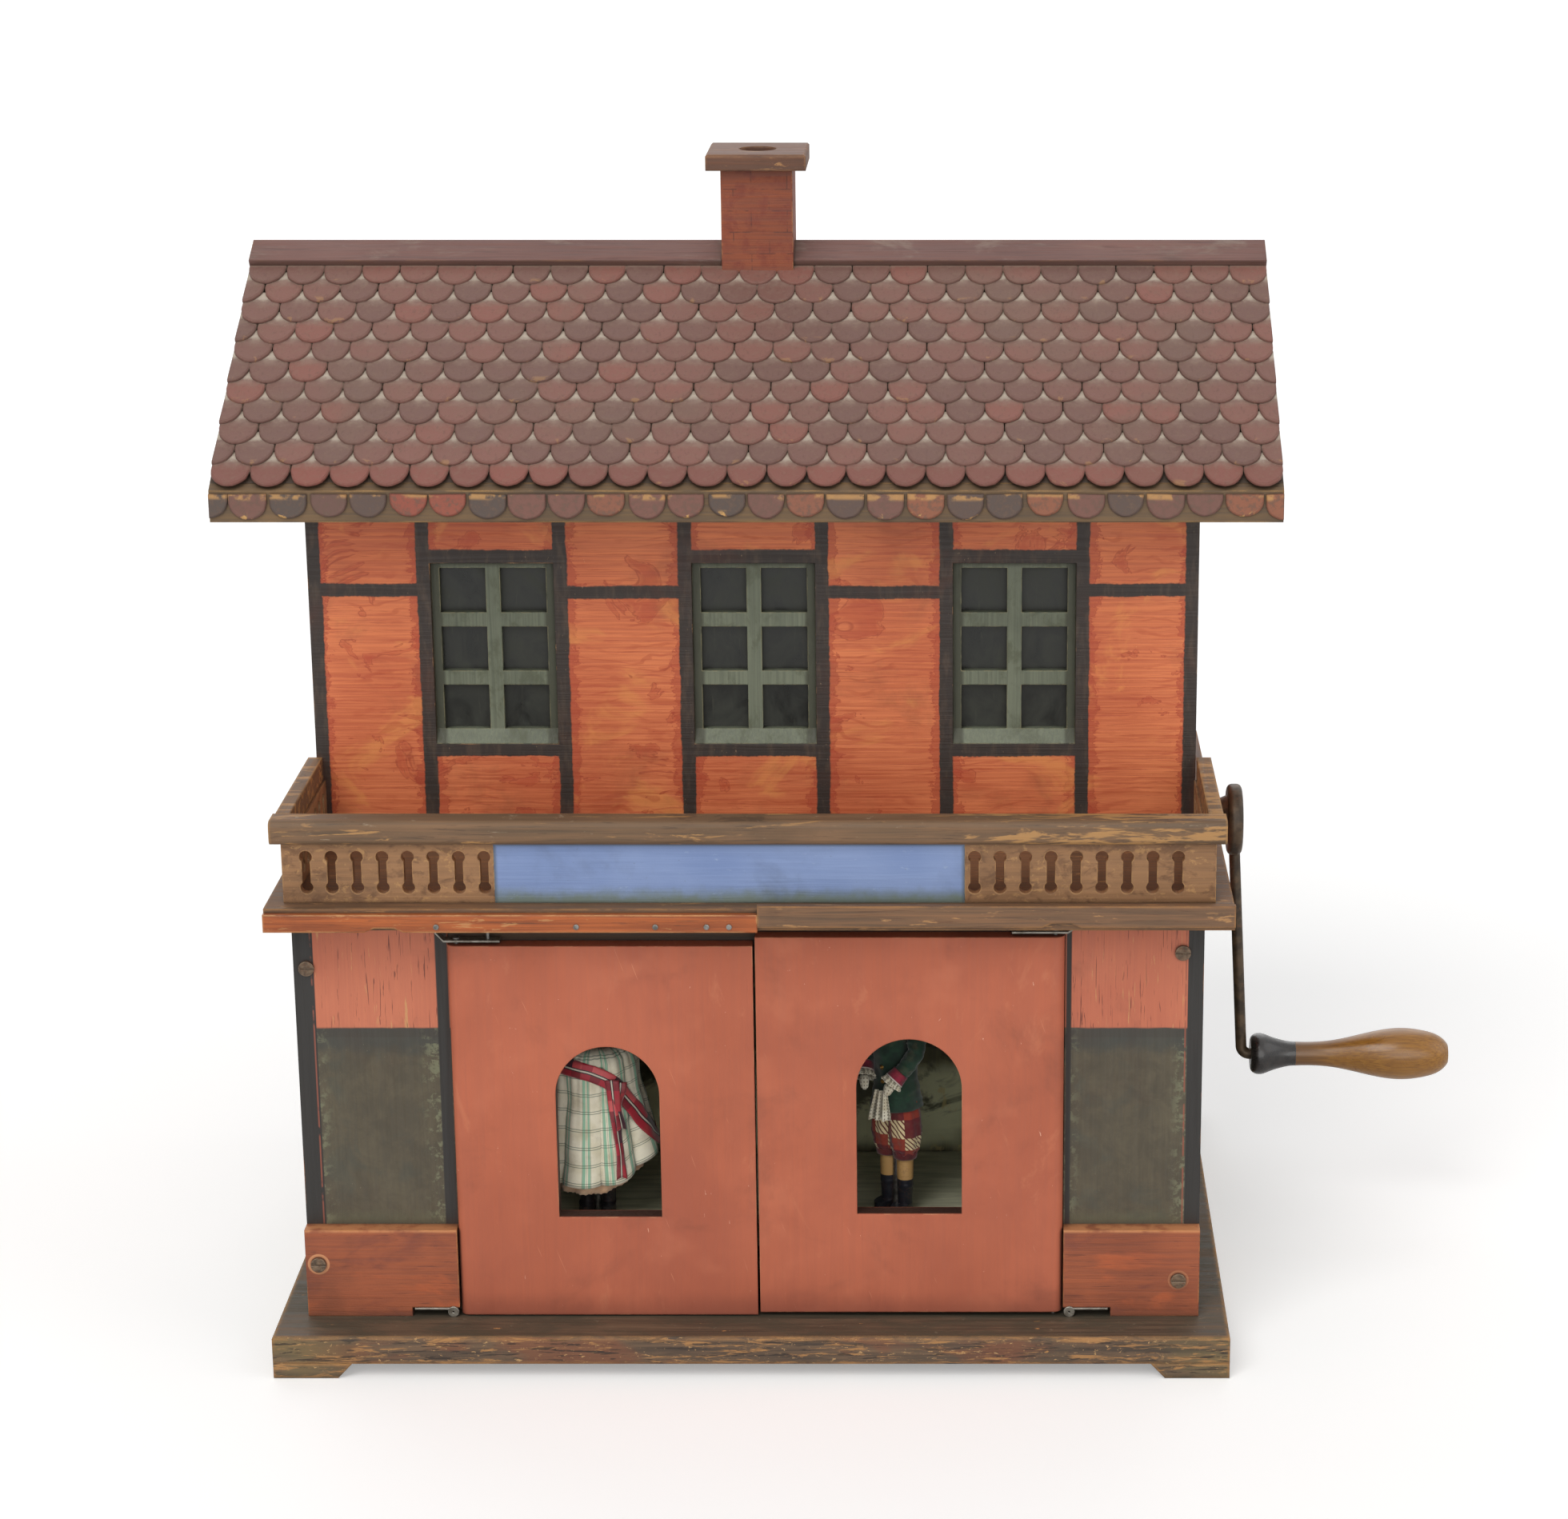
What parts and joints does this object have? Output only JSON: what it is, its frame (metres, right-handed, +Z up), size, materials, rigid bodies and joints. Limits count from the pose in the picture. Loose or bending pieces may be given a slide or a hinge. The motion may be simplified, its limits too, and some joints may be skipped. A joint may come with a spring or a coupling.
{
  "type": "hand-cranked wooden toy inn",
  "caption": "Old two-storey wooden toy inn with a balcony, arched doors and a side crank that turns dressed dancers behind the doors.",
  "frame": {"origin": "centre of the whole toy's bounding box, at the height of the surface it stands on", "axes": "+X to the right towards the crank and along the ridge, +Y to the back, +Z up; the doors face -Y"},
  "size_m": [0.5284, 0.3217, 0.4865],
  "materials": {
    "base_paint": "worn dark grey-brown paint over pine",
    "red_stain": "orange-red stain over pine, with dark painted timber lines",
    "plinth_stain": "red-brown stain, worn orange at the edges",
    "door_paint": "matte terracotta paint",
    "bare_pine": "bare aged pine",
    "dark_wood": "dark stained wood",
    "deck_paint": "worn grey-brown paint over pine",
    "orange_pine": "varnished orange pine",
    "rail_paint": "ochre and grey-brown paint, worn",
    "sign_paint": "worn light blue paint, bare of text",
    "sash_paint": "grey-green paint",
    "dark_pane": "dark smudged pane",
    "shingle_paint": "dusty maroon-brown paint",
    "brick_paint": "painted brick pattern, worn",
    "dark_iron": "dark brown patina",
    "black_ferrule": "gloss black, worn",
    "grip_wood": "honey-yellow turned wood, polished",
    "beech": "turned beech",
    "belt_cotton": "woven cotton tape",
    "steel": "tempered steel",
    "tin": "dull tinplate",
    "doll_paint": "painted wood, black boots",
    "skirt_cloth": "cream cotton with pale green lines",
    "ribbon_cloth": "woven red ribbon with black and white lines",
    "jacket_cloth": "dark green felt jacket and patterned breeches"
  },
  "bodies": {
    "house": {"base_board": "base_paint", "foot_battens": "base_paint", "side_wall_left": "red_stain", "side_wall_right": "red_stain", "back_panel": "dark_wood", "pilaster_left": "red_stain", "pilaster_right": "red_stain", "plinth_left": "plinth_stain", "plinth_right": "plinth_stain", "lintel": "dark_wood", "stage_floor": "dark_wood", "stage_backdrop": "dark_wood", "deck_board": "deck_paint", "deck_side_boards": "deck_paint", "deck_strip_left": "orange_pine", "deck_strip_right": "deck_paint", "fretwork_front_left": "rail_paint", "fretwork_front_right": "rail_paint", "fretwork_sides": "rail_paint", "sign_board": "sign_paint", "handrail_front": "rail_paint", "handrail_sides": "rail_paint", "upper_front": "red_stain", "gable_left": "red_stain", "gable_right": "red_stain", "window_sashes": "sash_paint", "window_panes": "dark_pane", "roof_board_front": "dark_wood", "roof_board_back": "dark_wood", "fascia_boards": "shingle_paint", "shingles_front": "shingle_paint", "shingles_back": "shingle_paint", "ridge_boards": "shingle_paint", "chimney_stack": "brick_paint", "chimney_cap": "deck_paint", "drive_belt": "belt_cotton", "shaft_shelf": "bare_pine", "support_blocks": "bare_pine", "music_comb": "steel", "hinge_straps": "tin", "wire_nails": "steel", "wood_screws": "steel"},
    "crank": {"crank_axle": "dark_iron", "crank_hub": "dark_iron", "crank_arm": "dark_iron", "crown_wheel": "beech", "music_barrel": "beech"},
    "grip": {"grip_ferrule": "black_ferrule", "crank_grip": "grip_wood"},
    "drop_drive": {"drop_spindle": "beech", "lantern_pinion": "beech"},
    "left_door": {"door_left": "door_paint"},
    "right_door": {"door_right": "door_paint"},
    "dancer_left": {"dancer_left_spindle": "steel", "dancer_left_figure": "doll_paint", "dancer_left_skirt": "skirt_cloth", "dancer_left_ribbon": "ribbon_cloth"},
    "dancer_right": {"dancer_right_spindle": "steel", "dancer_right_figure": "doll_paint", "dancer_right_clothes": "jacket_cloth"}
  },
  "joints": [
    {"name": "crank_turn", "type": "hinge", "parent": "house", "child": "crank", "pos_m": [-0.0452, 0.01513, 0.1895], "axis": [1, 0, 0], "continuous": true},
    {"name": "grip_spin", "type": "hinge", "parent": "crank", "child": "grip", "pos_m": [0.2102, 0.01513, 0.0775], "axis": [1, 0, 0], "continuous": true},
    {"name": "drop_spindle_turn", "type": "hinge", "parent": "house", "child": "drop_drive", "pos_m": [-0.0452, 0.01513, 0.1], "axis": [0, 0, 1], "continuous": true},
    {"name": "dancer_left_turn", "type": "hinge", "parent": "house", "child": "dancer_left", "pos_m": [-0.1132, -0.10187, 0.05], "axis": [0, 0, 1], "continuous": true},
    {"name": "dancer_right_turn", "type": "hinge", "parent": "house", "child": "dancer_right", "pos_m": [0.0148, -0.10187, 0.05], "axis": [0, 0, 1], "continuous": true},
    {"name": "left_door_swing", "type": "hinge", "parent": "house", "child": "left_door", "pos_m": [-0.1647, -0.13612, 0.1], "axis": [0, 0, -1], "range_deg": [0, 90]},
    {"name": "right_door_swing", "type": "hinge", "parent": "house", "child": "right_door", "pos_m": [0.081, -0.13612, 0.1], "axis": [0, 0, 1], "range_deg": [0, 90]}
  ],
  "couplings": [
    {"joint": "drop_spindle_turn", "follows": "crank_turn", "ratio": 2.25},
    {"joint": "dancer_left_turn", "follows": "crank_turn", "ratio": 1.125},
    {"joint": "dancer_right_turn", "follows": "crank_turn", "ratio": 1.125}
  ]
}
